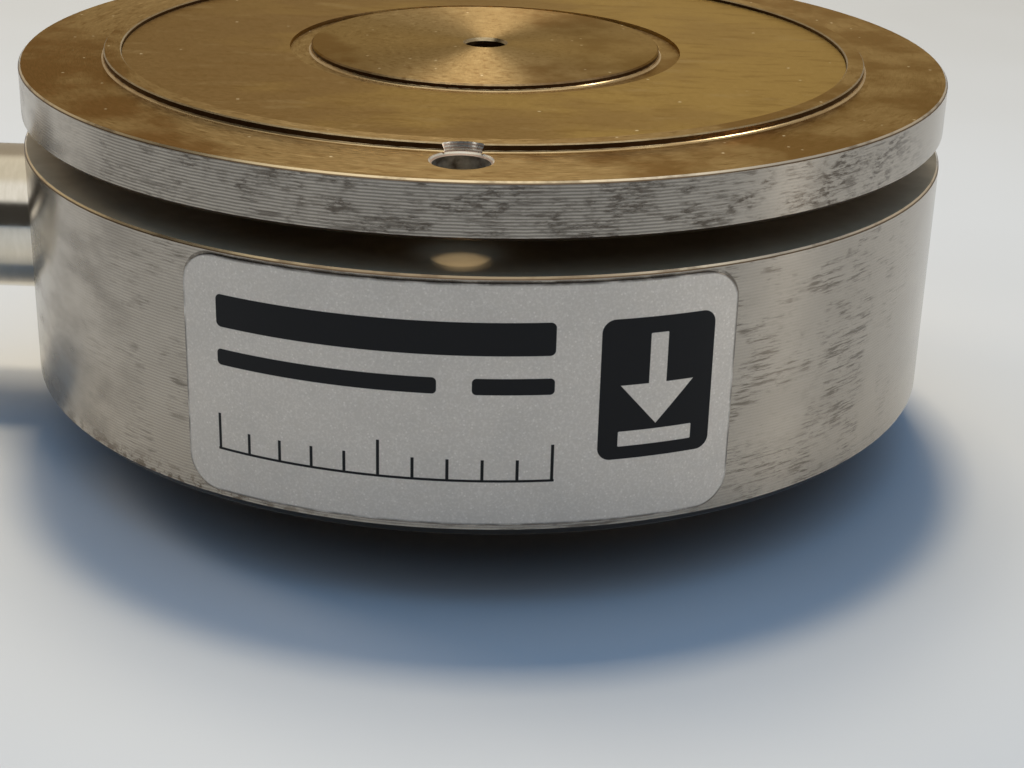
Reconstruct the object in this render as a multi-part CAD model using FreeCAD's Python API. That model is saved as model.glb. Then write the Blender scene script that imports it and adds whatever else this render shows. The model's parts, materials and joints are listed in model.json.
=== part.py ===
"""Low-profile bending-ring load cell: a turned stainless spring body with a sealed gauge chamber.

A load plate rests on the raised ring of the flange. The flange hangs on a thin web round a stiff
hub, and strain gauges on that web sense its bending. The hub, the base ring and the foot under it
are one block that stands on the floor. The cable leaves through a gland on the side of the base ring.

Millimetres. The origin is the centre of the foot's lower face, +Z is up, the label faces -Y and the
cable gland points to -X.
"""
import FreeCAD, Part
import math
import os

# Spring body, outside
body_radius = 47.0
foot_height = 6.5
foot_wall = 4.5
base_height = 24.3
gap_height = 3.1
flange_thickness = 5.1
gap_corner_radius = 1.0
foot_root_radius = 1.0

# Top face from the rim inwards: land, load ring, outer membrane seat, web, hub with the inner
# membrane seat, groove and boss
flange_land = 8.3
load_ring_width = 1.75
load_ring_height = 0.8
outer_seat_width = 2.25
web_width = 7.2
hub_width = 6.0
inner_seat_width = 1.4
boss_groove_width = 2.2
boss_drop = 0.05
centre_mark_radius = 0.95
centre_mark_pilot_radius = 0.45
centre_mark_depth = 2.2

# Broken edges
flange_edge = 0.3
ledge_edge = 0.3
base_edge = 1.0
foot_edge = 0.5
load_ring_edge = 0.12
boss_edge = 0.15

# Tapped holes through the flange
flange_hole_count = 2
flange_hole_inset = 6.0
flange_hole_radius = 2.5
flange_hole_bevel = 0.3

# Gauge chamber and membrane
chamber_depth = 2.5
membrane_thickness = 0.4
weld_gap = 0.05

# Lower cavity and its cover
core_roof = 5.5
shelf_height = 12.0
shelf_width = 5.0
cover_thickness = 1.0
cover_recess = 0.5
cover_seat_width = 2.0

# Strain gauges and their leads
gauge_pairs = 4
gauge_length = 2.6
gauge_width = 3.6
gauge_thickness = 0.12
gauge_margin = 0.4
lead_width = 0.5
lead_thickness = 0.15
lead_spacing = 1.6
lead_foot = 0.9
lead_slope = 1.1

# Terminal ring on the hub and the wires down to the board
terminal_thickness = 0.6
terminal_clearance = 0.3
channel_inset = 2.5
channel_radius = 1.7
wire_radius = 0.45
wire_pitch = 1.1

# Compensation board
board_thickness = 1.6
board_clearance = 0.3
screw_count = 3
screw_radius = 1.25
screw_depth = 5.0
screw_head_radius = 2.25
screw_head_height = 1.5
screw_head_clearance = 0.25
screw_slot_width = 0.6
screw_slot_depth = 0.7
thread_clearance = 0.05
hole_clearance = 0.2
resistor_length = 6.4
resistor_width = 3.2
resistor_height = 1.3
resistor_cap = 0.9
resistor_cap_proud = 0.1
resistor_circle = 11.0
turret_count = 6
turret_inset = 6.5
turret_pitch = 5.76
turret_flange_radius = 1.1
turret_flange_height = 0.5
turret_stem_radius = 0.6
turret_height = 3.2
turret_head_radius = 0.9
turret_head_height = 0.6

# Cable gland
gland_rise = 12.8
gland_length = 16.0
gland_edge = 0.4
spot_face_depth = 1.0
spot_face_clearance = 0.4
port_radius = 5.25
spigot_length = 9.0
conductor_radius = 3.0
bush_radius = 5.2
bush_length = 5.0
bush_clearance = 0.1
cable_radius = 3.1
washer_thickness = 1.0
washer_bore_clearance = 0.4
screw_in_radius = 6.0
nut_bore_radius = 3.4
nut_flats = 14.0
nut_thread_length = 5.4
nut_length = 6.0
nut_gap = 0.6
nut_bevel = 0.8
seal_groove_width = 1.7
seal_groove_depth = 1.2
seal_groove_wall = 0.3
seal_shoulder_wall = 0.45
seal_clearance = 0.1
seal_corner = 0.5

# Label on the front of the base ring
label_width = 50.0
label_rise = 1.6
label_drop = 0.5
label_corner = 3.0
label_thickness = 0.2
label_glue = 0.05

# Heights and radii that follow from the sizes above
base_bottom = foot_height
ledge = base_bottom + base_height
flange_bottom = ledge + gap_height
flange_top = flange_bottom + flange_thickness
load_ring_top = flange_top + load_ring_height
boss_top = load_ring_top - boss_drop
chamber_floor = flange_top - chamber_depth
flange_hole_circle = body_radius - flange_hole_inset
load_ring_radius = body_radius - flange_land
load_ring_bore = load_ring_radius - load_ring_width
chamber_outer = load_ring_bore - outer_seat_width
post_radius = chamber_outer - web_width
chamber_inner = post_radius - hub_width
boss_radius = chamber_inner - inner_seat_width - boss_groove_width
shelf_circle = chamber_inner + channel_inset
cavity_radius = shelf_circle + screw_head_radius + screw_head_clearance
core_radius = cavity_radius - shelf_width
core_top = ledge - core_roof
cover_seat = cover_recess + cover_thickness
cover_bore = cavity_radius + cover_seat_width
foot_radius = cover_bore + foot_wall
board_bottom = shelf_height - board_thickness
turret_circle = core_radius - turret_inset
terminal_inner = chamber_inner + terminal_clearance
terminal_outer = post_radius - 2 * terminal_clearance
terminal_top = chamber_floor + terminal_thickness
gauge_top = chamber_floor + gauge_thickness
gland_height = base_bottom + gland_rise
seal_groove_inner = port_radius + seal_groove_wall
seal_groove_outer = seal_groove_inner + seal_groove_width
gland_radius = seal_groove_outer + seal_shoulder_wall
spot_face = body_radius - spot_face_depth
gland_end = spot_face + gland_length
washer_top = gland_end - nut_thread_length
bush_top = washer_top - washer_thickness
bush_floor = bush_top - bush_length

UP = FreeCAD.Vector(0, 0, 1)
CENTRE = FreeCAD.Vector(0, 0, 0)
# Cutters reach this far past the faces that they open
overrun = 1.0


def turned(outline):
    """Solid of revolution about Z from a closed outline of (radius, height) corners."""
    points = [FreeCAD.Vector(r, 0, z) for r, z in outline]
    face = Part.Face(Part.makePolygon(points + points[:1]))
    return face.revolve(CENTRE, UP, 360)


def tube(outer, inner, bottom, top):
    """Plain ring between two radii and two heights."""
    return turned([(inner, bottom), (outer, bottom), (outer, top), (inner, top)])


def rod(radius, bottom, top, x=0.0, y=0.0):
    """Upright cylinder between two heights."""
    return Part.makeCylinder(radius, top - bottom, FreeCAD.Vector(x, y, bottom), UP)


def block(x_size, y_size, bottom, top, x=0.0, y=0.0):
    """Box centred on (x, y) between two heights."""
    corner = FreeCAD.Vector(x - x_size / 2, y - y_size / 2, bottom)
    return Part.makeBox(x_size, y_size, top - bottom, corner)


def on_circle(radius, degrees):
    """Point on a circle round the axis, measured from +X towards +Y."""
    angle = math.radians(degrees)
    return radius * math.cos(angle), radius * math.sin(angle)


def spun(shape, degrees):
    """Copy of a shape turned about the axis."""
    copy = shape.copy()
    copy.rotate(CENTRE, UP, degrees)
    return copy


def pointing_out(shape):
    """Lay a shape modelled along Z on the gland's axis, with its Z as the distance from the cell's axis."""
    shape.rotate(CENTRE, FreeCAD.Vector(0, 1, 0), -90)
    shape.translate(FreeCAD.Vector(0, 0, gland_height))
    return shape


def ring_edges(solid, radius, height):
    """Circular edges of a given radius and height about the axis."""
    found = []
    for edge in solid.Edges:
        curve = edge.Curve
        if isinstance(curve, Part.Circle) and math.hypot(curve.Center.x, curve.Center.y) < 1e-6:
            if abs(curve.Radius - radius) < 1e-6 and abs(curve.Center.z - height) < 1e-6:
                found.append(edge)
    return found


def flange_hole_angles():
    """Directions of the tapped holes, the first at the front over the label."""
    return [-90 + 360 * i / flange_hole_count for i in range(flange_hole_count)]


def board_screw_angles():
    """Directions of the board screws, clear of the gland port at 180 degrees and of the wires at 0."""
    return [90 + 360 * i / screw_count for i in range(screw_count)]


def spring_body():
    """The turned body: foot, base ring, post, web, flange, load ring and boss in one piece."""
    solid = turned([
        (0, core_top), (core_radius, core_top), (core_radius, shelf_height),
        (cavity_radius, shelf_height), (cavity_radius, cover_seat), (cover_bore, cover_seat),
        (cover_bore, 0), (foot_radius, 0), (foot_radius, base_bottom),
        (body_radius, base_bottom), (body_radius, ledge), (post_radius, ledge),
        (post_radius, flange_bottom), (body_radius, flange_bottom), (body_radius, flange_top),
        (load_ring_radius, flange_top), (load_ring_radius, load_ring_top),
        (load_ring_bore, load_ring_top), (load_ring_bore, flange_top),
        (chamber_outer, flange_top), (chamber_outer, chamber_floor),
        (chamber_inner, chamber_floor), (chamber_inner, flange_top),
        (boss_radius, flange_top), (boss_radius, boss_top), (0, boss_top),
    ])
    gap_corners = ring_edges(solid, post_radius, ledge) + ring_edges(solid, post_radius, flange_bottom)
    solid = solid.makeFillet(gap_corner_radius, gap_corners)
    solid = solid.makeFillet(foot_root_radius, ring_edges(solid, foot_radius, base_bottom))
    flange_rims = ring_edges(solid, body_radius, flange_bottom) + ring_edges(solid, body_radius, flange_top)
    solid = solid.makeChamfer(flange_edge, flange_rims)
    solid = solid.makeChamfer(ledge_edge, ring_edges(solid, body_radius, ledge))
    solid = solid.makeChamfer(base_edge, ring_edges(solid, body_radius, base_bottom))
    solid = solid.makeChamfer(foot_edge, ring_edges(solid, foot_radius, 0))
    ring_rims = ring_edges(solid, load_ring_radius, load_ring_top)
    ring_rims += ring_edges(solid, load_ring_bore, load_ring_top)
    solid = solid.makeChamfer(load_ring_edge, ring_rims)
    solid = solid.makeChamfer(boss_edge, ring_edges(solid, boss_radius, boss_top))
    cuts = [centre_mark(), wire_channel(), gland_port(), gland_spot_face()]
    cuts += [flange_hole(angle) for angle in flange_hole_angles()]
    cuts += [board_screw_hole(angle) for angle in board_screw_angles()]
    return solid.cut(cuts)


def centre_mark():
    """Centre-drilled mark in the boss: a sixty-degree cone over a short pilot hole."""
    cone_depth = (centre_mark_radius - centre_mark_pilot_radius) / math.tan(math.radians(30))
    return turned([
        (0, boss_top - centre_mark_depth), (centre_mark_pilot_radius, boss_top - centre_mark_depth),
        (centre_mark_pilot_radius, boss_top - cone_depth), (centre_mark_radius, boss_top),
        (centre_mark_radius, boss_top + overrun), (0, boss_top + overrun),
    ])


def flange_hole(angle):
    """Tapped hole through the flange with a bevelled mouth, which also notches the load ring."""
    x, y = on_circle(flange_hole_circle, angle)
    mouth = flange_hole_radius + flange_hole_bevel
    hole = turned([
        (0, flange_bottom - gap_height / 2), (flange_hole_radius, flange_bottom - gap_height / 2),
        (flange_hole_radius, flange_top - flange_hole_bevel), (mouth, flange_top),
        (mouth, load_ring_top + overrun), (0, load_ring_top + overrun),
    ])
    hole.translate(FreeCAD.Vector(x, y, 0))
    return hole


def board_screw_hole(angle):
    """Blind tapped hole in the shelf for a board screw."""
    x, y = on_circle(shelf_circle, angle)
    return rod(screw_radius + thread_clearance, shelf_height - overrun, shelf_height + screw_depth, x, y)


def wire_channel():
    """Upright channel from the gauge chamber to the shelf under the base ring's roof."""
    return rod(channel_radius, shelf_height - overrun, chamber_floor + overrun, shelf_circle)


def gland_port():
    """Tapped port from the outside of the base ring into the core."""
    return pointing_out(rod(port_radius, core_radius / 2, body_radius + overrun))


def gland_spot_face():
    """Flat seat for the gland's shoulder on the round wall."""
    return pointing_out(rod(gland_radius + spot_face_clearance, spot_face, body_radius + overrun))


def top_membrane():
    """Thin sheet ring that closes the gauge chamber, welded at the boss and at the load ring."""
    inner = boss_radius + boss_groove_width
    return tube(load_ring_bore - weld_gap, inner, flange_top, flange_top + membrane_thickness)


def bottom_cover():
    """Thin disc welded into the foot, set back from the floor."""
    return rod(cover_bore - weld_gap, cover_recess, cover_seat)


def gauge(inner_end, angle):
    """One foil strain gauge bonded to the chamber floor, its length along the radius."""
    middle = inner_end + gauge_length / 2
    return spun(block(gauge_length, gauge_width, chamber_floor, gauge_top, middle), angle)


def gauge_rows():
    """Inner end and direction of each gauge: a row at the hub and a row at the flange, set between them."""
    step = 360 / gauge_pairs
    inner_row = post_radius + gauge_margin
    outer_row = chamber_outer - gauge_margin - gauge_length
    inner = [(inner_row, step * (i + 0.5)) for i in range(gauge_pairs)]
    outer = [(outer_row, step * i) for i in range(gauge_pairs)]
    return inner, outer


def gauge_lead(inner_end, side, angle):
    """Ribbon lead from a gauge's tab, along the chamber and up on to the terminal ring."""
    outline = [
        (inner_end + lead_foot, gauge_top), (terminal_outer + lead_slope, gauge_top),
        (terminal_outer, terminal_top), (terminal_outer - lead_foot, terminal_top),
    ]
    ribbon = outline + [(r, z + lead_thickness) for r, z in reversed(outline)]
    left = side * lead_spacing / 2 - lead_width / 2
    points = [FreeCAD.Vector(r, left, z) for r, z in ribbon]
    lead = Part.Face(Part.makePolygon(points + points[:1])).extrude(FreeCAD.Vector(0, lead_width, 0))
    return spun(lead, angle)


def gauge_leads():
    """Two ribbon leads for every gauge."""
    inner, outer = gauge_rows()
    return Part.makeCompound([gauge_lead(r, side, a) for r, a in inner + outer for side in (-1, 1)])


def terminal_ring():
    """Ring circuit on the stiff hub that joins the gauges into a bridge."""
    return tube(terminal_outer, terminal_inner, chamber_floor, terminal_top)


def bridge_wire(column, row):
    """One insulated wire from the compensation board up to the terminal ring."""
    x = shelf_circle + column * wire_pitch / 2
    y = row * wire_pitch / 2
    return rod(wire_radius, shelf_height, chamber_floor, x, y)


def compensation_board():
    """Round circuit board against the shelf, with clearance holes for its screws."""
    board = rod(cavity_radius - board_clearance, board_bottom, shelf_height)
    for angle in board_screw_angles():
        x, y = on_circle(shelf_circle, angle)
        hole = rod(screw_radius + hole_clearance, board_bottom - overrun, shelf_height + overrun, x, y)
        board = board.cut(hole)
    return board


def board_screw(angle):
    """Slotted cheese-head screw that holds the board up against the shelf."""
    x, y = on_circle(shelf_circle, angle)
    head_bottom = board_bottom - screw_head_height
    head = rod(screw_head_radius, head_bottom, board_bottom, x, y)
    shank = rod(screw_radius, board_bottom, shelf_height + screw_depth - hole_clearance, x, y)
    slot = block(2 * screw_head_radius + overrun, screw_slot_width, head_bottom - overrun,
                 head_bottom + screw_slot_depth, x, y)
    return head.fuse(shank).removeSplitter().cut(slot)


def board_screws():
    """The screws as a group of separate solids."""
    return Part.makeCompound([board_screw(angle) for angle in board_screw_angles()])


def resistor(angle):
    """Chip resistor with metal end caps on the underside of the board."""
    body_bottom = board_bottom - resistor_height
    middle_length = resistor_length - 2 * resistor_cap
    middle_width = resistor_width - 2 * resistor_cap_proud
    chip = block(middle_length, middle_width, body_bottom + resistor_cap_proud, board_bottom)
    for side in (-1, 1):
        x = side * (resistor_length - resistor_cap) / 2
        chip = chip.fuse(block(resistor_cap, resistor_width, body_bottom, board_bottom, x))
    chip.translate(FreeCAD.Vector(0, resistor_circle, 0))
    return spun(chip, angle)


def solder_turret(index):
    """Turned solder post on top of the board for one conductor of the cable."""
    top = shelf_height + turret_height
    post = turned([
        (0, shelf_height), (turret_flange_radius, shelf_height),
        (turret_flange_radius, shelf_height + turret_flange_height),
        (turret_stem_radius, shelf_height + turret_flange_height),
        (turret_stem_radius, top - turret_head_height),
        (turret_head_radius, top - turret_head_height), (turret_head_radius, top), (0, top),
    ])
    step = math.degrees(turret_pitch / turret_circle)
    x, y = on_circle(turret_circle, 180 + (index - (turret_count - 1) / 2) * step)
    post.translate(FreeCAD.Vector(x, y, 0))
    return post


def solder_turrets():
    """The solder posts as a group of separate solids."""
    return Part.makeCompound([solder_turret(i) for i in range(turret_count)])


def gland_body():
    """Turned gland: threaded spigot, shoulder with a seal groove, and a stepped bore."""
    spigot = port_radius - thread_clearance
    groove_top = spot_face + seal_groove_depth
    solid = turned([
        (conductor_radius, spot_face - spigot_length), (spigot, spot_face - spigot_length),
        (spigot, spot_face), (seal_groove_inner, spot_face), (seal_groove_inner, groove_top),
        (seal_groove_outer, groove_top), (seal_groove_outer, spot_face),
        (gland_radius, spot_face), (gland_radius, gland_end), (screw_in_radius, gland_end),
        (screw_in_radius, bush_top), (bush_radius, bush_top),
        (bush_radius, bush_floor), (conductor_radius, bush_floor),
    ])
    solid = solid.makeChamfer(gland_edge, ring_edges(solid, gland_radius, gland_end))
    return pointing_out(solid)


def gland_o_ring():
    """O-ring squeezed flat between the seal groove and the spot face."""
    inner = seal_groove_inner + seal_clearance
    outer = seal_groove_outer - seal_clearance
    ring = tube(outer, inner, spot_face, spot_face + seal_groove_depth)
    edges = []
    for radius in (inner, outer):
        for height in (spot_face, spot_face + seal_groove_depth):
            edges += ring_edges(ring, radius, height)
    return pointing_out(ring.makeFillet(seal_corner, edges))


def gland_bush():
    """Rubber bush that grips the cable when the pressure screw squeezes it."""
    return pointing_out(tube(bush_radius - bush_clearance, cable_radius, bush_floor, bush_top))


def gland_washer():
    """Slip washer between the bush and the pressure screw."""
    outer = screw_in_radius - bush_clearance
    return pointing_out(tube(outer, cable_radius + washer_bore_clearance, bush_top, washer_top))


def gland_nut():
    """Hollow pressure screw with a hexagon head."""
    head_bottom = gland_end + nut_gap
    head_top = head_bottom + nut_length
    corner = nut_flats / math.sqrt(3)
    hexagon = [FreeCAD.Vector(*on_circle(corner, 60 * i + 30), head_bottom) for i in range(6)]
    head = Part.Face(Part.makePolygon(hexagon + hexagon[:1])).extrude(UP * nut_length)
    barrel = turned([
        (0, head_bottom), (corner - nut_bevel, head_bottom), (corner, head_bottom + nut_bevel / 2),
        (corner, head_top - nut_bevel / 2), (corner - nut_bevel, head_top), (0, head_top),
    ])
    shank = rod(screw_in_radius - thread_clearance, washer_top, head_bottom)
    bore = rod(nut_bore_radius, 0, head_top + overrun)
    return pointing_out(head.common(barrel).fuse(shank).cut(bore))


def label():
    """Foil label wrapped on the front of the base ring, with rounded corners."""
    bottom = base_bottom + label_rise
    top = ledge - label_drop
    inner = body_radius + label_glue
    outer = inner + label_thickness
    half_width = outer * math.sin(label_width / 2 / body_radius)
    plate = block(2 * half_width, outer, bottom, top, 0, -outer / 2)
    through = [edge for edge in plate.Edges if abs(edge.tangentAt(edge.FirstParameter).y) > 0.5]
    plate = plate.makeFillet(label_corner, through)
    return tube(outer, inner, bottom, top).common(plate)


def build():
    """All pieces of the load cell by name."""
    inner, outer = gauge_rows()
    pieces = {"spring_body": spring_body(), "top_membrane": top_membrane(), "bottom_cover": bottom_cover()}
    for i, (radius, angle) in enumerate(inner):
        pieces[f"inner_gauge_{i + 1}"] = gauge(radius, angle)
    for i, (radius, angle) in enumerate(outer):
        pieces[f"outer_gauge_{i + 1}"] = gauge(radius, angle)
    pieces["gauge_leads"] = gauge_leads()
    pieces["terminal_ring"] = terminal_ring()
    pieces["red_wire"] = bridge_wire(-1, -1)
    pieces["black_wire"] = bridge_wire(1, -1)
    pieces["green_wire"] = bridge_wire(-1, 1)
    pieces["white_wire"] = bridge_wire(1, 1)
    pieces["compensation_board"] = compensation_board()
    pieces["board_screws"] = board_screws()
    pieces["zero_trim_resistor"] = resistor(0)
    pieces["span_trim_resistor"] = resistor(90)
    pieces["zero_drift_resistor"] = resistor(180)
    pieces["span_drift_resistor"] = resistor(270)
    pieces["solder_turrets"] = solder_turrets()
    pieces["gland_body"] = gland_body()
    pieces["gland_o_ring"] = gland_o_ring()
    pieces["gland_bush"] = gland_bush()
    pieces["gland_washer"] = gland_washer()
    pieces["gland_nut"] = gland_nut()
    pieces["label"] = label()
    return pieces


os.makedirs("parts", exist_ok=True)
for name, shape in build().items():
    shape.exportStep(f"parts/{name}.step")
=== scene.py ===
import json
import math

import bmesh
import bpy
from mathutils import Matrix, Vector

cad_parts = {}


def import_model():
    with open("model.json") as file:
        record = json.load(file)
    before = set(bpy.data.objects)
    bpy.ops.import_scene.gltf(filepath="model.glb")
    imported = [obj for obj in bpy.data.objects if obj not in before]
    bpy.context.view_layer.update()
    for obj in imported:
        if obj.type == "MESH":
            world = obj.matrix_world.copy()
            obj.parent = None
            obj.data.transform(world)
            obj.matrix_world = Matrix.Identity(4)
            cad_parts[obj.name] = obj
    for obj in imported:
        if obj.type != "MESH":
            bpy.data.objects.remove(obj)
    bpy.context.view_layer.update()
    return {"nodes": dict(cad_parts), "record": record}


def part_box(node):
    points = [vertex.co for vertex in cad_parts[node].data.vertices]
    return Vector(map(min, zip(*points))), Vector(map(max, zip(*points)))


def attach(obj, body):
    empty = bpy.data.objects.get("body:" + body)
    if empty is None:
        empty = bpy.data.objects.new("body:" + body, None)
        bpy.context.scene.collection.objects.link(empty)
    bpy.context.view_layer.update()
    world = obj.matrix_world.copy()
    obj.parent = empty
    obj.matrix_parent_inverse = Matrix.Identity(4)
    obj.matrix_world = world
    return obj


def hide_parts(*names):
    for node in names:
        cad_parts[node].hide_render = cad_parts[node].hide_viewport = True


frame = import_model()

MM = 0.001
TURN = 2 * math.pi

nodes = frame["nodes"]
mounts = {mount["name"]: mount for mount in frame["record"]["mounts"]}

# Sizes of the frame, in millimetres
body_low, body_high = (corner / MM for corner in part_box("spring_body"))
membrane_low, membrane_high = (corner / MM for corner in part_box("top_membrane"))
label_low, label_high = (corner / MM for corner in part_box("label"))
body_radius = body_high.x
label_middle = (label_low.z + label_high.z) / 2
label_rise = (label_high.z - label_low.z) / 2
label_half = math.asin(label_high.x / -label_low.y) * body_radius
ring_top = body_high.z
flange_top = membrane_low.z
hole_circle = mounts["flange_bolts"]["dims"]["pcd_mm"] / 2
hole_count = mounts["flange_bolts"]["dims"]["count"]
hole_radius = mounts["flange_bolts"]["dims"]["hole_r_mm"]

# Forms that the frame doesn't give, in millimetres
base_floor = 6.5
flange_floor = 33.9
load_ring_radius = 38.7
boss_radius = 17.9
boss_top = ring_top - 0.05
boss_height = ring_top - 0.3
ledge_top = 30.8
turned_edge = 0.3
worn_edge = 0.24
ring_root = 0.22
boss_root = 0.26
root_sunk = 0.05
hole_bevel = 0.3
hole_mouth = hole_radius + hole_bevel
notch_flare = 0.22
mark_radius = 2.3
mark_bore_radius = 2.1
mark_bevel_depth = 0.32
mark_depth = 2.6

# Camera at the photograph's viewing angle
camera_place = Vector((0.00859, -0.19349, 0.08337))
camera_yaw = 1.45
camera_pitch = -22.92
camera_roll = 1.54
camera_lens = 66.43
sensor_width = 36.0

# Turning marks, in millimetres
wall_pitch = 0.29
land_pitch = 0.21
boss_pitch = 0.13
mouth_pitch = 0.27

# Print of the label, in millimetres from its middle along the wall and up: each box is
# (centre u, centre v, half width, half height, corner radius)
label_corner = 3.0
print_bars = [(-6.5, 6.2, 15.0, 1.5, 0.5), (-11.5, 1.9, 10.0, 0.75, 0.4), (5.0, 1.9, 3.5, 0.75, 0.4)]
scale_line = (-6.5, -6.9, 15.2, 0.12, 0.05)
scale_start = -21.5
scale_step = 3.0
scale_ticks = 11
short_tick = (-5.9, 1.0)
long_tick = (-5.2, 1.7)
long_every = 5
tick_half = 0.14
sign_middle = 17.6
sign_tile = (sign_middle, 1.2, 5.2, 6.5, 1.2)
sign_stem = (sign_middle, 3.6, 0.8, 2.6, 0.1)
sign_foot = (sign_middle, -3.4, 3.4, 0.7, 0.1)
ink_blur = 0.03

# Colours
STEEL = (0.455, 0.412, 0.352, 1)
SMUDGE = (0.13, 0.11, 0.09, 1)
RUST = (0.09, 0.06, 0.035, 1)
RIM_SHADE = (0.17, 0.12, 0.08, 1)
RIM_HIGHLIGHT_GOLD = (0.92, 0.78, 0.54, 1)
RIM_HIGHLIGHT_WHITE = (0.92, 0.86, 0.76, 1)
MOUTH_SHADE = (0.66, 0.50, 0.40, 1)
MOUTH_HIGHLIGHT = (1.0, 0.95, 0.83, 1)
GOLD_EDGE_HIGHLIGHT = (0.54, 0.45, 0.29, 1)
GOLD = (0.395, 0.295, 0.17, 1)
GLEAM = (0.57, 0.46, 0.28, 1)
PATINA = (0.17, 0.09, 0.042, 1)
PATINA_LEFT = (0.17, 0.072, 0.03, 1)
DUST = (0.92, 0.86, 0.70, 1)
CORNER_SHADE = (0.12, 0.07, 0.035, 1)
SHEET = (0.265, 0.185, 0.105, 1)
SHEET_PAINTED_LIGHT = (0.385, 0.285, 0.13, 1)
SMEAR = (0.20, 0.125, 0.06, 1)
FILM = (0.44, 0.36, 0.23, 1)
SHEET_DUST = (0.92, 0.86, 0.72, 1)
GOLD_RIM = (0.76, 0.62, 0.40, 1)
FOIL = (0.64, 0.60, 0.55, 1)
FOIL_SPARK = (0.82, 0.78, 0.73, 1)
FOIL_WORN = (0.42, 0.41, 0.39, 1)
FOIL_EDGE = (0.10, 0.09, 0.08, 1)
INK = (0.012, 0.012, 0.013, 1)
INSIDE_SHADE = (0.24, 0.19, 0.14, 1)
FLOOR = (0.66, 0.67, 0.685, 1)
FLOOR_FAR_SHADE = (0.50, 0.49, 0.47, 1)
STUDIO_BACK = (0.40, 0.345, 0.27, 1)
STUDIO_BRIGHT = (0.62, 0.56, 0.45, 1)
STUDIO_SIDE = (0.36, 0.34, 0.31, 1)
STUDIO_FRONT = (0.045, 0.042, 0.038, 1)
STUDIO_TOP = (0.80, 0.74, 0.62, 1)
WINDOW = (1.0, 0.98, 0.94, 1)
FILL_LOW = (0.0, 0.0, 0.0, 1)
FILL_TOP = (0.33, 0.58, 0.94, 1)
FILL_FRONT = (0.22, 0.28, 0.36, 1)


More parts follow.
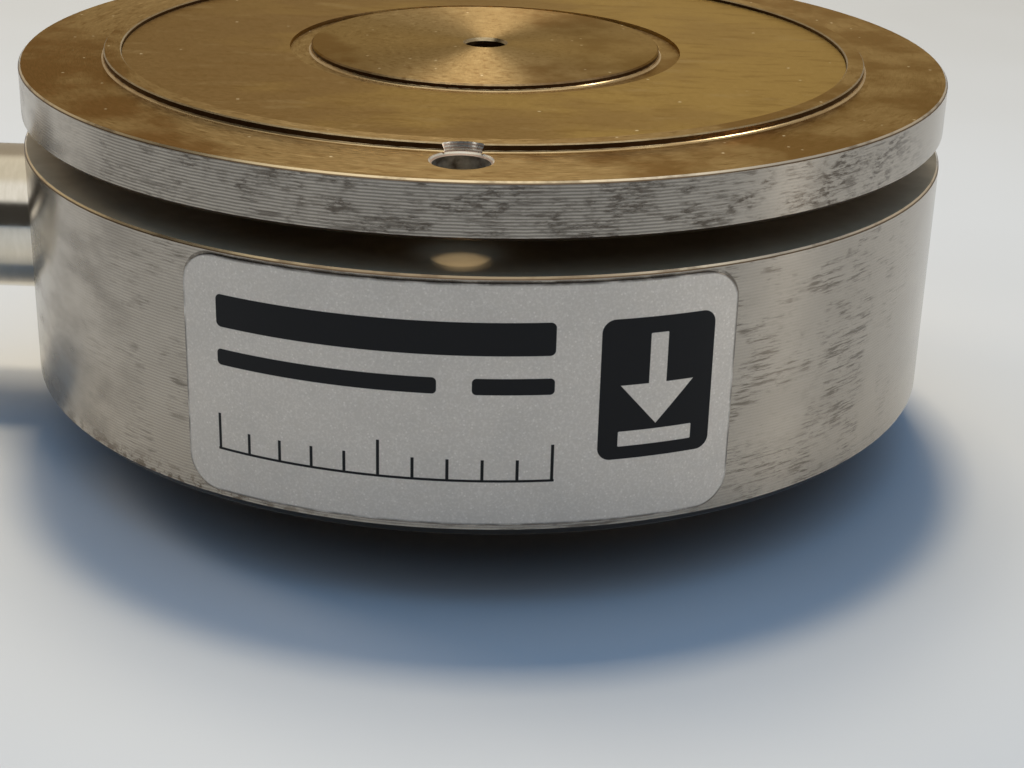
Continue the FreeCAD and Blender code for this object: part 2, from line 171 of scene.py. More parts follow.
class Graph:
    """A material's node tree, with short calls for the nodes used here."""

    def __init__(self, name, tree=None):
        self.material = None
        if tree is None:
            self.material = bpy.data.materials.new(name)
            self.material.use_nodes = True
            tree = self.material.node_tree
        self.tree = tree
        self.shader = tree.nodes.get("Principled BSDF")

    def feed(self, socket, value):
        """Link a socket to another, or set its value."""
        if isinstance(value, bpy.types.NodeSocket):
            self.tree.links.new(value, socket)
        else:
            socket.default_value = value

    def add(self, kind, inputs=None, **settings):
        """New node with its settings, and its inputs by name or number."""
        made = self.tree.nodes.new("ShaderNode" + kind)
        for name, value in settings.items():
            setattr(made, name, value)
        for name, value in (inputs or {}).items():
            self.feed(made.inputs[name], value)
        return made

    def math(self, operation, a, b=0.0):
        return self.add("Math", {0: a, 1: b}, operation=operation).outputs[0]

    def times(self, first, *others):
        for other in others:
            first = self.math("MULTIPLY", first, other)
        return first

    def plus(self, first, *others):
        for other in others:
            first = self.math("ADD", first, other)
        return first

    def most(self, first, *others):
        for other in others:
            first = self.math("MAXIMUM", first, other)
        return first

    def vector(self, operation, a, b=(0, 0, 0)):
        made = self.add("VectorMath", {0: a, 1: b}, operation=operation)
        return made.outputs["Value" if operation == "LENGTH" else "Vector"]

    def split(self, vector):
        return self.add("SeparateXYZ", {0: vector}).outputs

    def join(self, x, y, z):
        return self.add("CombineXYZ", {0: x, 1: y, 2: z}).outputs[0]

    def noise(self, vector, stretch, detail=3.0, roughness=0.55):
        """Noise over a vector in millimetres whose features are as long as stretch along each axis."""
        scaled = self.vector("DIVIDE", vector, stretch)
        inputs = {"Vector": scaled, "Scale": 1.0, "Detail": detail, "Roughness": roughness}
        return self.add("TexNoise", inputs).outputs["Fac"]

    def specks(self, vector, spacing, size):
        """Scattered round specks of a size, with a cell of a given spacing each: 1 inside, 0 outside."""
        scaled = self.vector("DIVIDE", vector, (spacing, spacing, spacing))
        cells = self.add("TexVoronoi", {"Vector": scaled, "Scale": 1.0}, feature="F1")
        return self.ramp(cells.outputs["Distance"], size / spacing, 0.4 * size / spacing)

    def ramp(self, value, low, high, out_low=0.0, out_high=1.0):
        """Smooth step of a value between two levels."""
        inputs = {"Value": value, "From Min": low, "From Max": high, "To Min": out_low, "To Max": out_high}
        return self.add("MapRange", inputs, interpolation_type="SMOOTHSTEP").outputs["Result"]

    def mix(self, factor, a, b, blend="MIX"):
        made = self.add("Mix", {0: factor, 6: a, 7: b}, data_type="RGBA", blend_type=blend)
        return made.outputs[2]

    def bump(self, height, distance):
        """Normal from a height, in metres per unit of height."""
        inputs = {"Strength": 1.0, "Distance": distance, "Height": height}
        return self.add("Bump", inputs).outputs["Normal"]

    def place(self):
        """Position on the part, in millimetres."""
        return self.vector("MULTIPLY", self.add("TexCoord").outputs["Object"], (1000, 1000, 1000))

    def turned(self):
        """Millimetres round the axis as a circle in x and y, and across the turning marks in z."""
        x, y, z = self.split(self.place())
        flat = self.join(x, y, 0.0)
        around = self.split(self.vector("NORMALIZE", flat))
        across = self.plus(self.vector("LENGTH", flat), z)
        return self.join(self.times(around[0], body_radius), self.times(around[1], body_radius), across)

    def grooves(self, turned, pitch):
        """Height of turning marks, from -1 to 1."""
        across = self.split(turned)[2]
        wander = self.noise(turned, (14, 14, 0.8), 2)
        return self.math("SINE", self.plus(self.times(across, TURN / pitch), self.times(wander, 1.4)))

    def patch(self, u, v, box):
        """Distance outside a box of (centre u, centre v, half width, half height, corner radius)."""
        centre_u, centre_v, half_u, half_v, corner = box
        du = self.most(self.plus(self.math("ABSOLUTE", self.plus(u, -centre_u)), corner - half_u), 0.0)
        dv = self.most(self.plus(self.math("ABSOLUTE", self.plus(v, -centre_v)), corner - half_v), 0.0)
        return self.plus(self.math("SQRT", self.plus(self.times(du, du), self.times(dv, dv))), -corner)

    def set(self, **values):
        """Set the shader's sockets: underscores in a name stand for spaces."""
        for name, value in values.items():
            self.feed(self.shader.inputs[name.replace("_", " ")], value)

    def turned_gloss(self, amount):
        """Highlight spread across the turning marks."""
        tangent = self.add("Tangent", direction_type="RADIAL", axis="Z").outputs[0]
        self.set(Anisotropic=amount, Anisotropic_Rotation=0.25, Tangent=tangent)


def wall_steel():
    """Turned wall: level tool marks, dark strokes where it has been rubbed, rust specks along its foot, and
    smudge haze that is heavier on the left side, partly real smudges and partly painted shade.
    """
    g = Graph("wall_steel")
    turned = g.turned()
    place = g.place()
    x, y, z = g.split(place)
    bearing = g.math("ARCTAN2", x, g.times(y, -1.0))
    rubbed_zone_and_front_shade = g.times(g.ramp(bearing, -1.0, -0.4, 0.15, 1.0), g.ramp(bearing, 1.20, 0.85, 0.15, 1.0))
    cluster = g.ramp(g.noise(turned, (4.2, 4.2, 5.0), 3), 0.40, 0.58)
    stroke = g.ramp(g.noise(turned, (3.4, 3.4, 0.30), 5, 0.68), 0.48, 0.62)
    tick = g.ramp(g.noise(turned, (0.9, 0.9, 0.22), 3, 0.6), 0.56, 0.68, 0.0, 0.6)
    upper = g.ramp(z, ledge_top, flange_floor, 0.20, 1.0)
    patchy = g.ramp(g.noise(turned, (3.6, 3.6, 2.6), 4), 0.42, 0.60)
    scuff = g.ramp(g.noise(turned, (1.5, 1.5, 0.32), 6, 0.72), 0.42, 0.60)
    blot = g.times(patchy, scuff, upper)
    # Left side: more smudge haze, partly real smudges and partly painted shade
    left_smudge_and_shade = g.times(g.ramp(bearing, -0.55, -0.85), g.ramp(bearing, -2.6, -1.7))
    film = g.ramp(left_smudge_and_shade, 0, 1, 0.14, 0.50)
    haze_and_left_shade = g.ramp(g.noise(turned, (7.0, 7.0, 3.0), 4, 0.55), 0.28, 0.74, 0.0, film)
    marks = g.grooves(turned, wall_pitch)
    cut_lines = g.times(g.ramp(bearing, -0.92, -0.66), g.ramp(bearing, 0.65, 0.25))
    depth = g.ramp(z, ledge_top, flange_floor, 0.76, 0.50)
    lines = g.ramp(marks, -1, 1, g.ramp(cut_lines, 0, 1, 0.93, depth), 1.0)
    dirt_and_left_shade = g.most(g.times(rubbed_zone_and_front_shade, cluster, g.most(stroke, tick), 0.76), g.times(rubbed_zone_and_front_shade, blot), haze_and_left_shade)
    outline = (0.0, 0.0, label_half + 0.16, label_rise + 0.16, label_corner + 0.1)
    rim = g.patch(g.times(bearing, body_radius), g.plus(z, -label_middle), outline)
    gummy = g.ramp(g.noise(place, (2, 2, 2), 4), 0.30, 0.55)
    dirt_and_left_shade = g.most(dirt_and_left_shade, g.times(g.ramp(rim, 0.10, 0.0, 0.0, 0.85), gummy))
    side = g.times(g.ramp(bearing, -0.1, -0.5), g.ramp(bearing, -2.6, -1.7))
    low = g.times(g.ramp(z, base_floor + 3.2, base_floor), g.ramp(side, 0, 1, 0.15, 1.0))
    rust = g.times(low, g.ramp(g.noise(place, (1.0, 1.0, 0.7), 4, 0.65), 0.47, 0.57))
    colour = g.mix(dirt_and_left_shade, g.mix(1.0, STEEL, lines, "MULTIPLY"), SMUDGE)
    rough = g.ramp(dirt_and_left_shade, 0, 1, 0.20, g.ramp(left_smudge_and_shade, 0, 1, 0.28, 0.40))
    g.set(Base_Color=g.mix(rust, colour, RUST), Metallic=1.0, Roughness=rough)
    g.set(Normal=g.bump(marks, 0.0016 * MM))
    g.turned_gloss(0.82)
    return g.material


def rim_steel():
    """Rims with a painted highlight along the arris, broken in places, and painted shade beside it; the
    highlight is fainter near the front of the lower rims and whiter to the right.
    """
    g = Graph("rim_steel")
    place = g.place()
    x, _, height = g.split(place)
    drop = 9.0
    for arris in (flange_top, ledge_top, base_floor):
        drop = g.math("MINIMUM", drop, g.math("ABSOLUTE", g.plus(height, -arris)))
    broken = g.ramp(g.noise(place, (3.5, 3.5, 2.0), 4), 0.34, 0.52, 0.40, 1.0)
    # Painted shade: the highlight of the lower rims fades near the front
    rubbed_zone_and_front_shade = g.ramp(g.math("ABSOLUTE", g.plus(x, -1.0)), 10, 22, 0.30, 1.0)
    shown = g.most(rubbed_zone_and_front_shade, g.ramp(height, ledge_top, flange_floor))
    bright = g.times(g.ramp(drop, 0.18, 0.11), broken, shown)
    line = g.mix(g.ramp(x, 5, 20), RIM_HIGHLIGHT_GOLD, RIM_HIGHLIGHT_WHITE)
    g.set(Base_Color=g.mix(bright, RIM_SHADE, line), Metallic=1.0)
    g.set(Roughness=g.ramp(bright, 0, 1, 0.30, 0.18))
    return g.material


def land_steel(name, reach, pitch, spread, rough, mark):
    """Turned top face with a golden tint, short brown strokes and brown stains."""
    g = Graph(name)
    turned = g.turned()
    place = g.place()
    x, y, _ = g.split(place)
    left = g.ramp(g.plus(x, g.times(y, 0.45)), -0.72 * reach, -0.98 * reach)
    right = g.ramp(x, 0.0, 0.45 * reach, 0.0, 0.72)
    aged = g.most(left, right)
    none_below = g.ramp(aged, 0, 1, 0.57, 0.30)
    full_above = g.ramp(aged, 0, 1, 0.75, 0.56)
    stain = g.ramp(g.noise(place, (9, 9, 9), 5, 0.62), none_below, full_above)
    stroke = g.ramp(g.noise(turned, (3.0, 3.0, 0.60), 5, 0.68), 0.50, 0.66)
    gleam = g.ramp(g.noise(turned, (4.0, 4.0, 0.55), 5, 0.66), 0.50, 0.66, 0.0, 0.55)
    satin = g.noise(turned, (1.2, 1.2, 0.10), 2)
    marks = g.grooves(turned, pitch)
    gleam = g.times(gleam, g.ramp(aged, 0.1, 0.6, 1.0, 0.3))
    colour = g.mix(gleam, GOLD, GLEAM)
    patina = g.mix(left, PATINA, PATINA_LEFT)
    colour = g.mix(g.most(g.times(stain, 0.72), g.times(stroke, 0.50)), colour, patina)
    colour = g.mix(1.0, colour, g.ramp(satin, 0.3, 0.7, 0.80, 1.0), "MULTIPLY")
    dust = g.times(g.specks(place, 2.4, 0.20), 0.8)
    g.set(Base_Color=g.mix(dust, colour, DUST))
    g.set(Metallic=1.0, Specular_Tint=GOLD_RIM, Roughness=g.ramp(satin, 0.3, 0.7, rough, rough * 1.25))
    g.set(Normal=g.bump(marks, mark * MM))
    g.turned_gloss(spread)
    return g.material


def mouth_steel():
    """Wall of the notch over a hole and of its bevel, with a painted highlight over it and its level tool
    marks drawn as stripes of painted highlight and painted shade.
    """
    g = Graph("mouth_steel")
    place = g.place()
    wander = g.times(g.noise(place, (2, 2, 2), 2), 2.0)
    # Tool marks as stripes of painted highlight and painted shade
    marks = g.math("SINE", g.plus(g.times(g.split(place)[2], TURN / mouth_pitch), wander))
    g.set(Base_Color=g.mix(g.ramp(marks, -0.6, 0.8), MOUTH_SHADE, MOUTH_HIGHLIGHT), Metallic=0.65)
    g.set(Roughness=g.ramp(marks, -1, 1, 0.34, 0.22))
    return g.material


def sheet_steel():
    """Rolled sheet of the membrane: golden, cloudy, lighter towards the right as painted light, with faint
    handling smears and specks.
    """
    g = Graph("membrane_sheet")
    place = g.place()
    cloud = g.ramp(g.noise(place, (14, 9, 9), 3), 0.35, 0.65, -18, 18)
    # Painted light: the sheet grows lighter towards the right
    side = g.ramp(g.plus(g.split(place)[0], cloud), -26, 30)
    smear = g.ramp(g.noise(place, (5, 1.2, 3), 4, 0.6), 0.50, 0.70, 0.0, 0.45)
    film = g.ramp(g.noise(place, (7, 3, 5), 5, 0.65), 0.56, 0.68, 0.0, 0.30)
    grain = g.noise(place, (0.6, 0.25, 0.5), 3)
    colour = g.mix(side, SHEET, SHEET_PAINTED_LIGHT)
    colour = g.mix(smear, colour, SMEAR)
    colour = g.mix(film, colour, FILM)
    dust = g.times(g.specks(place, 4.0, 0.22), 0.8)
    g.set(Base_Color=g.mix(dust, colour, SHEET_DUST), Metallic=1.0, Specular_Tint=GOLD_RIM)
    g.set(Roughness=g.ramp(grain, 0.3, 0.7, 0.30, 0.40), Normal=g.bump(grain, 0.0015 * MM))
    return g.material


def label_foil():
    """Matt silver foil with a fine sparkle and a plain dark print: bars, a scale and a press-down sign."""
    g = Graph("label_foil")
    place = g.place()
    x, y, z = g.split(place)
    u = g.times(g.math("ARCTAN2", x, g.times(y, -1.0)), body_radius)
    v = g.plus(z, -label_middle)
    ticks = []
    for i in range(scale_ticks):
        middle, half = short_tick if i % long_every else long_tick
        ticks.append((scale_start + scale_step * i, middle, tick_half, half, 0.05))
    inside = 9.0
    for box in [*print_bars, scale_line, *ticks]:
        inside = g.math("MINIMUM", inside, g.patch(u, v, box))
    tile = g.patch(u, v, sign_tile)
    stem = g.patch(u, v, sign_stem)
    foot = g.patch(u, v, sign_foot)
    side = g.math("ABSOLUTE", g.plus(u, -sign_middle))
    head = g.most(g.plus(g.times(side, 0.75), g.times(v, -0.66), -1.45), g.plus(v, -1.6))
    sign = g.math("MINIMUM", stem, g.math("MINIMUM", foot, head))
    tile = g.most(tile, g.times(sign, -1.0))
    ink = g.ramp(g.math("MINIMUM", inside, tile), ink_blur, -ink_blur)
    edge = g.ramp(g.patch(u, v, (0.0, 0.0, label_half, label_rise, label_corner)), -0.24, -0.04, 0.0, 0.8)
    ragged = g.ramp(g.noise(place, (2.5, 2.5, 2.5), 4), 0.25, 0.6)
    grain = g.noise(place, (0.22, 0.22, 0.22), 2)
    spark = g.specks(place, 0.55, 0.13)
    worn = g.ramp(g.noise(place, (6, 6, 4), 3), 0.4, 0.7, 0.0, 0.14)
    colour = g.mix(g.most(g.ramp(grain, 0.4, 0.75, 0.0, 0.5), g.times(spark, 0.8)), FOIL, FOIL_SPARK)
    colour = g.mix(worn, colour, FOIL_WORN)
    colour = g.mix(g.times(edge, ragged), colour, FOIL_EDGE)
    g.set(Base_Color=g.mix(ink, colour, INK), Metallic=g.ramp(ink, 0, 1, 0.80, 0.0))
    g.set(Roughness=g.ramp(ink, 0, 1, 0.52, 0.42), Specular_IOR_Level=0.18)
    g.set(Normal=g.bump(grain, 0.006 * MM))
    return g.material


def grained(name, colour, shade, size, metallic, roughness, relief=0.002):
    """Plain material with a fine grain, a slow change of colour and a matching roughness."""
    g = Graph(name)
    place = g.place()
    grain = g.noise(place, size, 4)
    cloud = g.noise(place, tuple(8 * length for length in size), 2)
    mixed = g.ramp(g.plus(g.times(grain, 0.6), g.times(cloud, 0.4)), 0.35, 0.65)
    g.set(Base_Color=g.mix(mixed, colour, shade), Metallic=metallic)
    g.set(Roughness=g.ramp(grain, 0.3, 0.7, roughness, roughness * 1.35), Normal=g.bump(grain, relief * MM))
    return g.material


def dress(material, *names):
    """Give CAD nodes their material."""
    for name in names:
        mesh = nodes[name].data
        mesh.materials.clear()
        mesh.materials.append(material)


def hole_centres():
    """Axes of the tapped holes, the first at the front."""
    angles = [-TURN / 4 + TURN * i / hole_count for i in range(hole_count)]
    return [Vector((hole_circle * math.cos(angle), hole_circle * math.sin(angle), 0)) for angle in angles]


def lathe(name, outline, start=0.0, end=TURN, steps=96, centre=Vector()):
    """Closed solid of an outline of (radius, height) in millimetres, swept round an upright axis."""
    full = abs(end - start - TURN) < 1e-6
    shape = bmesh.new()
    sections = []
    for step in range(steps if full else steps + 1):
        angle = start + (end - start) * step / steps
        turn = Vector((math.cos(angle), math.sin(angle), 0))
        sections.append([shape.verts.new((centre + turn * r + Vector((0, 0, z))) * MM) for r, z in outline])
    for before, after in zip(sections, sections[1:] + sections[:1] if full else sections[1:]):
        for side in range(len(outline)):
            follow = (side + 1) % len(outline)
            shape.faces.new((before[side], after[side], after[follow], before[follow]))
    if not full:
        shape.faces.new(sections[0])
        shape.faces.new(list(reversed(sections[-1])))
    bmesh.ops.remove_doubles(shape, verts=shape.verts, dist=1e-8)
    bmesh.ops.recalc_face_normals(shape, faces=shape.faces)
    mesh = bpy.data.meshes.new(name)
    shape.to_mesh(mesh)
    shape.free()
    made = bpy.data.objects.new(name, mesh)
    bpy.context.scene.collection.objects.link(made)
    return made


def root_outline(radius, size):
    """Section of a small hollow fillet between an upright wall and the land."""
    low = flange_top - root_sunk
    outline = [(radius - root_sunk, low), (radius + size, low)]
    for step in range(5):
        angle = math.radians(270 - 22.5 * step)
        outline.append((radius + size * (1 + math.cos(angle)), flange_top + size * (1 + math.sin(angle))))
    outline.append((radius - root_sunk, flange_top + size + 2 * root_sunk))
    return outline


def root_fillets():
    """Fillets at the foot of the boss and of the load ring, open at the notches over the flange holes."""
    gap = math.acos((hole_circle ** 2 + load_ring_radius ** 2 - hole_mouth ** 2)
                    / (2 * hole_circle * load_ring_radius))
    step = TURN / hole_count
    starts = [-TURN / 4 + step * i for i in range(hole_count)]
    outline = root_outline(load_ring_radius, ring_root)
    made = [lathe(f"root_{i}", outline, a + gap, a + step - gap, 180) for i, a in enumerate(starts)]
    return [*made, lathe("boss_root", root_outline(boss_radius, boss_root), steps=180)]


def centre_cone():
    """Bevelled centre mark drilled into the boss."""
    return lathe("centre_cone", [
        (0, ring_top + 1), (mark_radius, ring_top + 1), (mark_radius, boss_top),
        (mark_bore_radius, boss_top - mark_bevel_depth), (mark_bore_radius, boss_top - mark_depth),
        (0, boss_top - mark_depth - 0.3),
    ])


def notch_cones():
    """Flared cuts that open the load ring a little over each flange hole."""
    low = flange_top + 0.02
    high = ring_top + 0.1
    outline = [(0, low), (hole_mouth - 0.01, low), (hole_mouth + notch_flare, high), (0, high)]
    return [lathe(f"notch_{i}", outline, centre=centre) for i, centre in enumerate(hole_centres())]


WALL, LAND, BOSS, EDGE_LINE, TOP_EDGE, MOUTH, BORE, CORNERS, LEDGE, ROOT, INNER = range(11)


def body_region(middle, normal):
    """Which finish a face of the body has, from its middle in millimetres and its normal."""
    radius = math.hypot(middle.x, middle.y)
    level = abs(normal.z)
    for centre in hole_centres():
        inward = centre.xy - middle.xy
        if inward.length < hole_mouth + 0.02 and middle.z > flange_floor - 0.1 and level < 0.95:
            return MOUTH if middle.z > flange_top - hole_bevel - 0.02 else BORE
        if inward.length < hole_mouth + notch_flare and inward.normalized().dot(normal.xy) > 0.9:
            return MOUTH
    if radius < mark_radius + 0.01 and level < 0.95:
        return TOP_EDGE if level > 0.3 else CORNERS
    if middle.z > flange_top - turned_edge and radius < body_radius - 0.35:
        for foot, size in ((load_ring_radius, ring_root), (boss_radius, boss_root)):
            if -0.02 < radius - foot < size and 0.002 < middle.z - flange_top < size and level < 0.999:
                return ROOT
        if level < 0.3:
            return CORNERS
        if radius < boss_radius + 0.1 and middle.z > boss_height:
            return BOSS
        return LAND if level > 0.9999 else TOP_EDGE
    if radius > body_radius - 1.2 and middle.z > base_floor - 0.1 and level < 0.9:
        return WALL if level < 0.1 else EDGE_LINE
    if abs(middle.z - ledge_top) < 0.01:
        return LEDGE
    return INNER


def body_finishes():
    """Materials of the body in the order of the regions."""
    return [
        wall_steel(),
        land_steel("land_steel", body_radius, land_pitch, 0.30, 0.33, 0.0010),
        land_steel("boss_steel", boss_radius, boss_pitch, 0.85, 0.28, 0.0006),
        rim_steel(),
        # Top edges lighter gold than the land: painted highlight
        grained("top_edge_steel", GOLD_EDGE_HIGHLIGHT, GOLD, (0.5, 0.5, 0.2), 1.0, 0.26, 0.0),
        mouth_steel(),
        # Bore: random bright and dark patches, painted highlights and painted shade inside the hole
        grained("bore_steel", (0.70, 0.62, 0.48, 1), (0.16, 0.12, 0.08, 1), (1.0, 1.0, 0.9), 0.45, 0.20),
        # Steep walls of the top, lip and centre mark, dark brown: painted shade
        grained("corner_shade_steel", CORNER_SHADE, (0.075, 0.042, 0.02, 1), (1.2, 1.2, 0.2), 1.0, 0.28),
        grained("ledge_steel", (0.66, 0.53, 0.35, 1), (0.56, 0.44, 0.28, 1), (3.0, 3.0, 0.6),
                0.3, 0.28, 0.0003),
        # Root fillets lighter gold than the land: painted highlight
        grained("root_highlight_steel", (0.80, 0.62, 0.36, 1), (0.58, 0.42, 0.22, 1), (3.0, 3.0, 0.4),
                1.0, 0.24, 0.0),
        # Gap, underside and inner faces dark brown: painted shade
        grained("inner_shade_steel", INSIDE_SHADE, (0.11, 0.085, 0.065, 1), (3.0, 3.0, 0.6), 0.7, 0.24, 0.0003),
    ]


def wear_rims(shape):
    """Narrow the turned rims of the flange and of the ledge, which wear has left small."""
    for vert in shape.verts:
        radius = vert.co.xy.length / MM
        for top in (flange_top, ledge_top):
            drop = top - vert.co.z / MM
            if abs(drop) < 0.003 and abs(radius - body_radius + turned_edge) < 0.03:
                vert.co.xy *= (body_radius - worn_edge) / radius
            elif abs(radius - body_radius) < 0.03 and abs(drop - turned_edge) < 0.003:
                vert.co.z = (top - worn_edge) * MM


def with_solids(body, changes):
    """Mesh of a body after its solids are added or cut, each given as (operation, solid)."""
    for operation, solid in changes:
        change = body.modifiers.new(solid.name, "BOOLEAN")
        change.operation = operation
        change.solver = "EXACT"
        change.object = solid
    bpy.context.view_layer.update()
    mesh = bpy.data.meshes.new_from_object(body.evaluated_get(bpy.context.evaluated_depsgraph_get()))
    body.modifiers.clear()
    for _, solid in changes:
        bpy.data.objects.remove(solid)
    return mesh


def finish_edges(mesh):
    """Keep an edge sharp where it is steep or where the finish changes."""
    shape = bmesh.new()
    shape.from_mesh(mesh)
    for face in shape.faces:
        face.material_index = body_region(face.calc_center_median() / MM, face.normal)
        face.smooth = abs(face.normal.z) < 0.999
    for edge in shape.edges:
        pair = edge.link_faces
        same = len(pair) == 2 and pair[0].material_index == pair[1].material_index
        edge.smooth = same and edge.calc_face_angle(0.0) < math.radians(28)
    shape.to_mesh(mesh)
    shape.free()


def turned_body():
    """The spring body with worn rims, roots of load ring and boss, flared notches and its centre mark."""
    mesh = nodes["spring_body"].data.copy()
    mesh.materials.clear()
    if "custom_normal" in mesh.attributes:
        mesh.attributes.remove(mesh.attributes["custom_normal"])
    shape = bmesh.new()
    shape.from_mesh(mesh)
    bmesh.ops.remove_doubles(shape, verts=shape.verts, dist=1e-7)
    wear_rims(shape)
    shape.to_mesh(mesh)
    shape.free()
    made = bpy.data.objects.new("turned_body", mesh)
    bpy.context.scene.collection.objects.link(made)
    changes = [("UNION", arc) for arc in root_fillets()]
    changes += [("DIFFERENCE", cone) for cone in [centre_cone(), *notch_cones()]]
    made.data = with_solids(made, changes)
    made.data.name = "turned_body"
    made.data.materials.clear()
    for material in body_finishes():
        made.data.materials.append(material)
    finish_edges(made.data)
    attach(made, "root")
    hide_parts("spring_body")


def dress_nodes():
    """Materials of the CAD nodes that are shown as they are."""
    dress(sheet_steel(), "top_membrane")
    dress(label_foil(), "label")
    polished = grained("gland_steel", (0.72, 0.68, 0.60, 1), (0.66, 0.62, 0.54, 1), (0.6, 2.0, 2.0),
                       1.0, 0.11, 0.0)
    dress(polished, "gland_body", "gland_nut", "gland_washer")
    cover = grained("cover_sheet", (0.55, 0.54, 0.52, 1), (0.45, 0.44, 0.42, 1), (3.0, 0.4, 1.0), 1.0, 0.32)
    dress(cover, "bottom_cover")
    rubber = grained("seal_rubber", (0.025, 0.025, 0.025, 1), (0.04, 0.04, 0.04, 1), (0.3, 0.3, 0.3),
                     0.0, 0.55, 0.01)
    dress(rubber, "gland_o_ring", "gland_bush")
    film = grained("gauge_film", (0.55, 0.30, 0.09, 1), (0.66, 0.42, 0.20, 1), (0.25, 0.25, 0.25),
                   0.1, 0.30)
    dress(film, *(f"{row}_gauge_{number}" for row in ("inner", "outer") for number in range(1, 5)))
    ribbon = grained("lead_ribbon", (0.70, 0.68, 0.63, 1), (0.55, 0.53, 0.50, 1), (0.4, 0.4, 0.4),
                     1.0, 0.25)
    dress(ribbon, "gauge_leads")
    board = grained("board_laminate", (0.07, 0.22, 0.10, 1), (0.10, 0.29, 0.15, 1), (0.35, 0.35, 1.0),
                    0.0, 0.38)
    dress(board, "terminal_ring", "compensation_board")
    screw = grained("screw_steel", (0.60, 0.60, 0.59, 1), (0.48, 0.48, 0.47, 1), (0.4, 0.4, 0.4), 1.0, 0.26)
    dress(screw, "board_screws")
    chip = grained("resistor_body", (0.10, 0.10, 0.11, 1), (0.17, 0.17, 0.18, 1), (0.4, 0.4, 0.4),
                   0.0, 0.28)
    dress(chip, "zero_trim_resistor", "span_trim_resistor", "zero_drift_resistor", "span_drift_resistor")
    turret = grained("turret_metal", (0.76, 0.71, 0.58, 1), (0.62, 0.56, 0.44, 1), (0.3, 0.3, 0.3),
                     1.0, 0.24)
    dress(turret, "solder_turrets")
    insulation = {"red": (0.55, 0.04, 0.04), "black": (0.025, 0.025, 0.025), "green": (0.04, 0.30, 0.09),
                  "white": (0.78, 0.78, 0.75)}
    for name, colour in insulation.items():
        darker = tuple(0.75 * part for part in colour)
        wire = grained(f"{name}_insulation", (*colour, 1), (*darker, 1), (0.5, 0.5, 2.0), 0.0, 0.35)
        dress(wire, f"{name}_wire")


def camera():
    """Camera at the photograph's place and turn."""
    data = bpy.data.cameras.new("camera")
    data.lens = camera_lens
    data.sensor_width = sensor_width
    data.clip_start = 0.01
    made = bpy.data.objects.new("camera", data)
    bpy.context.scene.collection.objects.link(made)
    turn = Matrix.Rotation(math.radians(camera_yaw), 4, "Z")
    tilt = Matrix.Rotation(math.radians(90 + camera_pitch), 4, "X")
    roll = Matrix.Rotation(math.radians(camera_roll), 4, "Z")
    made.matrix_world = Matrix.Translation(camera_place) @ turn @ tilt @ roll
    bpy.context.scene.camera = made


def stage_sheet(name, corners, height):
    """Flat stage piece with its corners in millimetres."""
    mesh = bpy.data.meshes.new(name)
    mesh.from_pydata([(x * MM, y * MM, height * MM) for x, y in corners], [], [range(len(corners))])
    made = bpy.data.objects.new(name, mesh)
    bpy.context.scene.collection.objects.link(made)
    return made


def rectangle(low, high):
    """Corners of a rectangle between two of them."""
    return [low, (high[0], low[1]), high, (low[0], high[1])]


def floor():
    """Plain pale floor, slightly cloudy, with painted shade that makes it a little darker far behind."""
    g = Graph("floor")
    place = g.place()
    cloud = g.ramp(g.noise(place, (60, 60, 60), 2), 0.3, 0.7, 0.0, 0.12)
    far_shade = g.ramp(g.split(place)[1], 0, 300, 0.0, 0.8)
    g.set(Base_Color=g.mix(g.plus(cloud, far_shade), FLOOR, FLOOR_FAR_SHADE))
    g.set(Roughness=0.65, Specular_IOR_Level=0.2)
    stage_sheet("floor", rectangle((-3000, -3000), (3000, 3000)), 0.0).data.materials.append(g.material)


def softbox(name, place, size, power, colour, lights=True, mirrored=True):
    """Square soft lamp that looks at the part: it can light it, show in its metal, or both."""
    data = bpy.data.lights.new(name, "AREA")
    data.size = size
    data.energy = power
    data.color = colour
    made = bpy.data.objects.new(name, data)
    bpy.context.scene.collection.objects.link(made)
    made.location = place
    made.rotation_euler = (-Vector(place)).to_track_quat("-Z", "Y").to_euler()
    made.visible_camera = False
    made.visible_diffuse = lights
    made.visible_glossy = mirrored


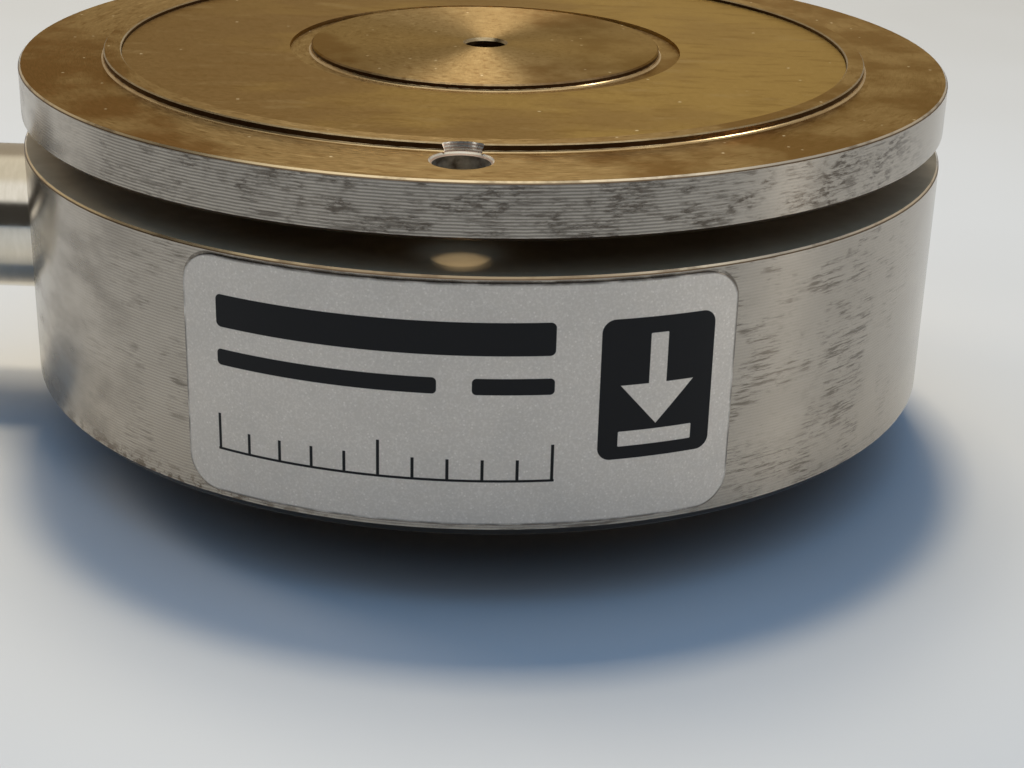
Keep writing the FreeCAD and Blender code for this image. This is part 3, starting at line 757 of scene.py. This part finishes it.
def world():
    """Soft studio that camera and metal see alike; matt surfaces get a cool light from above."""
    made = bpy.data.worlds.new("room")
    made.use_nodes = True
    made.cycles.sampling_method = "NONE"
    bpy.context.scene.world = made
    g = Graph("room", made.node_tree)
    x, y, z = g.split(g.add("TexCoord").outputs["Generated"])
    bright = g.times(g.ramp(x, -0.25, 0.08), g.ramp(x, 0.26, 0.12))
    back = g.mix(bright, STUDIO_BACK, STUDIO_BRIGHT)
    studio = g.mix(g.ramp(y, -0.1, 0.6), STUDIO_FRONT, back)
    studio = g.mix(g.times(g.ramp(x, 0.2, 0.8), g.ramp(y, 0.6, 0.2)), studio, STUDIO_SIDE)
    studio = g.mix(g.ramp(z, 0.70, 0.88), studio, STUDIO_TOP)
    window = g.times(g.ramp(z, 0.52, 0.66), g.ramp(y, -0.15, -0.45), g.ramp(x, -0.62, -0.45))
    studio = g.mix(window, studio, WINDOW)
    fill = g.mix(g.ramp(z, 0.40, 0.75), FILL_LOW, FILL_TOP)
    front = g.times(g.ramp(z, 0.48, 0.66), g.ramp(y, -0.10, -0.45))
    fill = g.mix(front, fill, FILL_FRONT)
    matt = g.add("LightPath").outputs["Is Diffuse Ray"]
    sky = g.mix(matt, studio, fill)
    background = made.node_tree.nodes["Background"]
    g.feed(background.inputs["Color"], sky)
    background.inputs["Strength"].default_value = 1.0


def lamps():
    """Soft lamps, with their places and sizes in metres and their power in watts."""
    softbox("overhead", (-0.03, 0.24, 0.92), 0.12, 4.2, (1.0, 0.86, 0.62), mirrored=False)
    softbox("back", (-0.07, 0.45, 0.88), 0.28, 3.3, (1.0, 0.85, 0.60))
    softbox("left", (-0.72, 0.42, 0.55), 0.25, 1.6, (1.0, 0.84, 0.60), mirrored=False)
    softbox("front_left", (-0.58, -0.78, 0.20), 0.16, 0.16, (1.0, 0.97, 0.92), lights=False)
    softbox("front_right", (0.72, -0.66, 0.22), 0.10, 0.07, (1.0, 0.97, 0.92), lights=False)
    softbox("right", (0.90, -0.20, 0.22), 0.10, 1.9, (1.0, 0.93, 0.82), lights=False)


camera()
turned_body()
dress_nodes()
floor()
world()
lamps()
bpy.context.scene.view_settings.view_transform = "Standard"
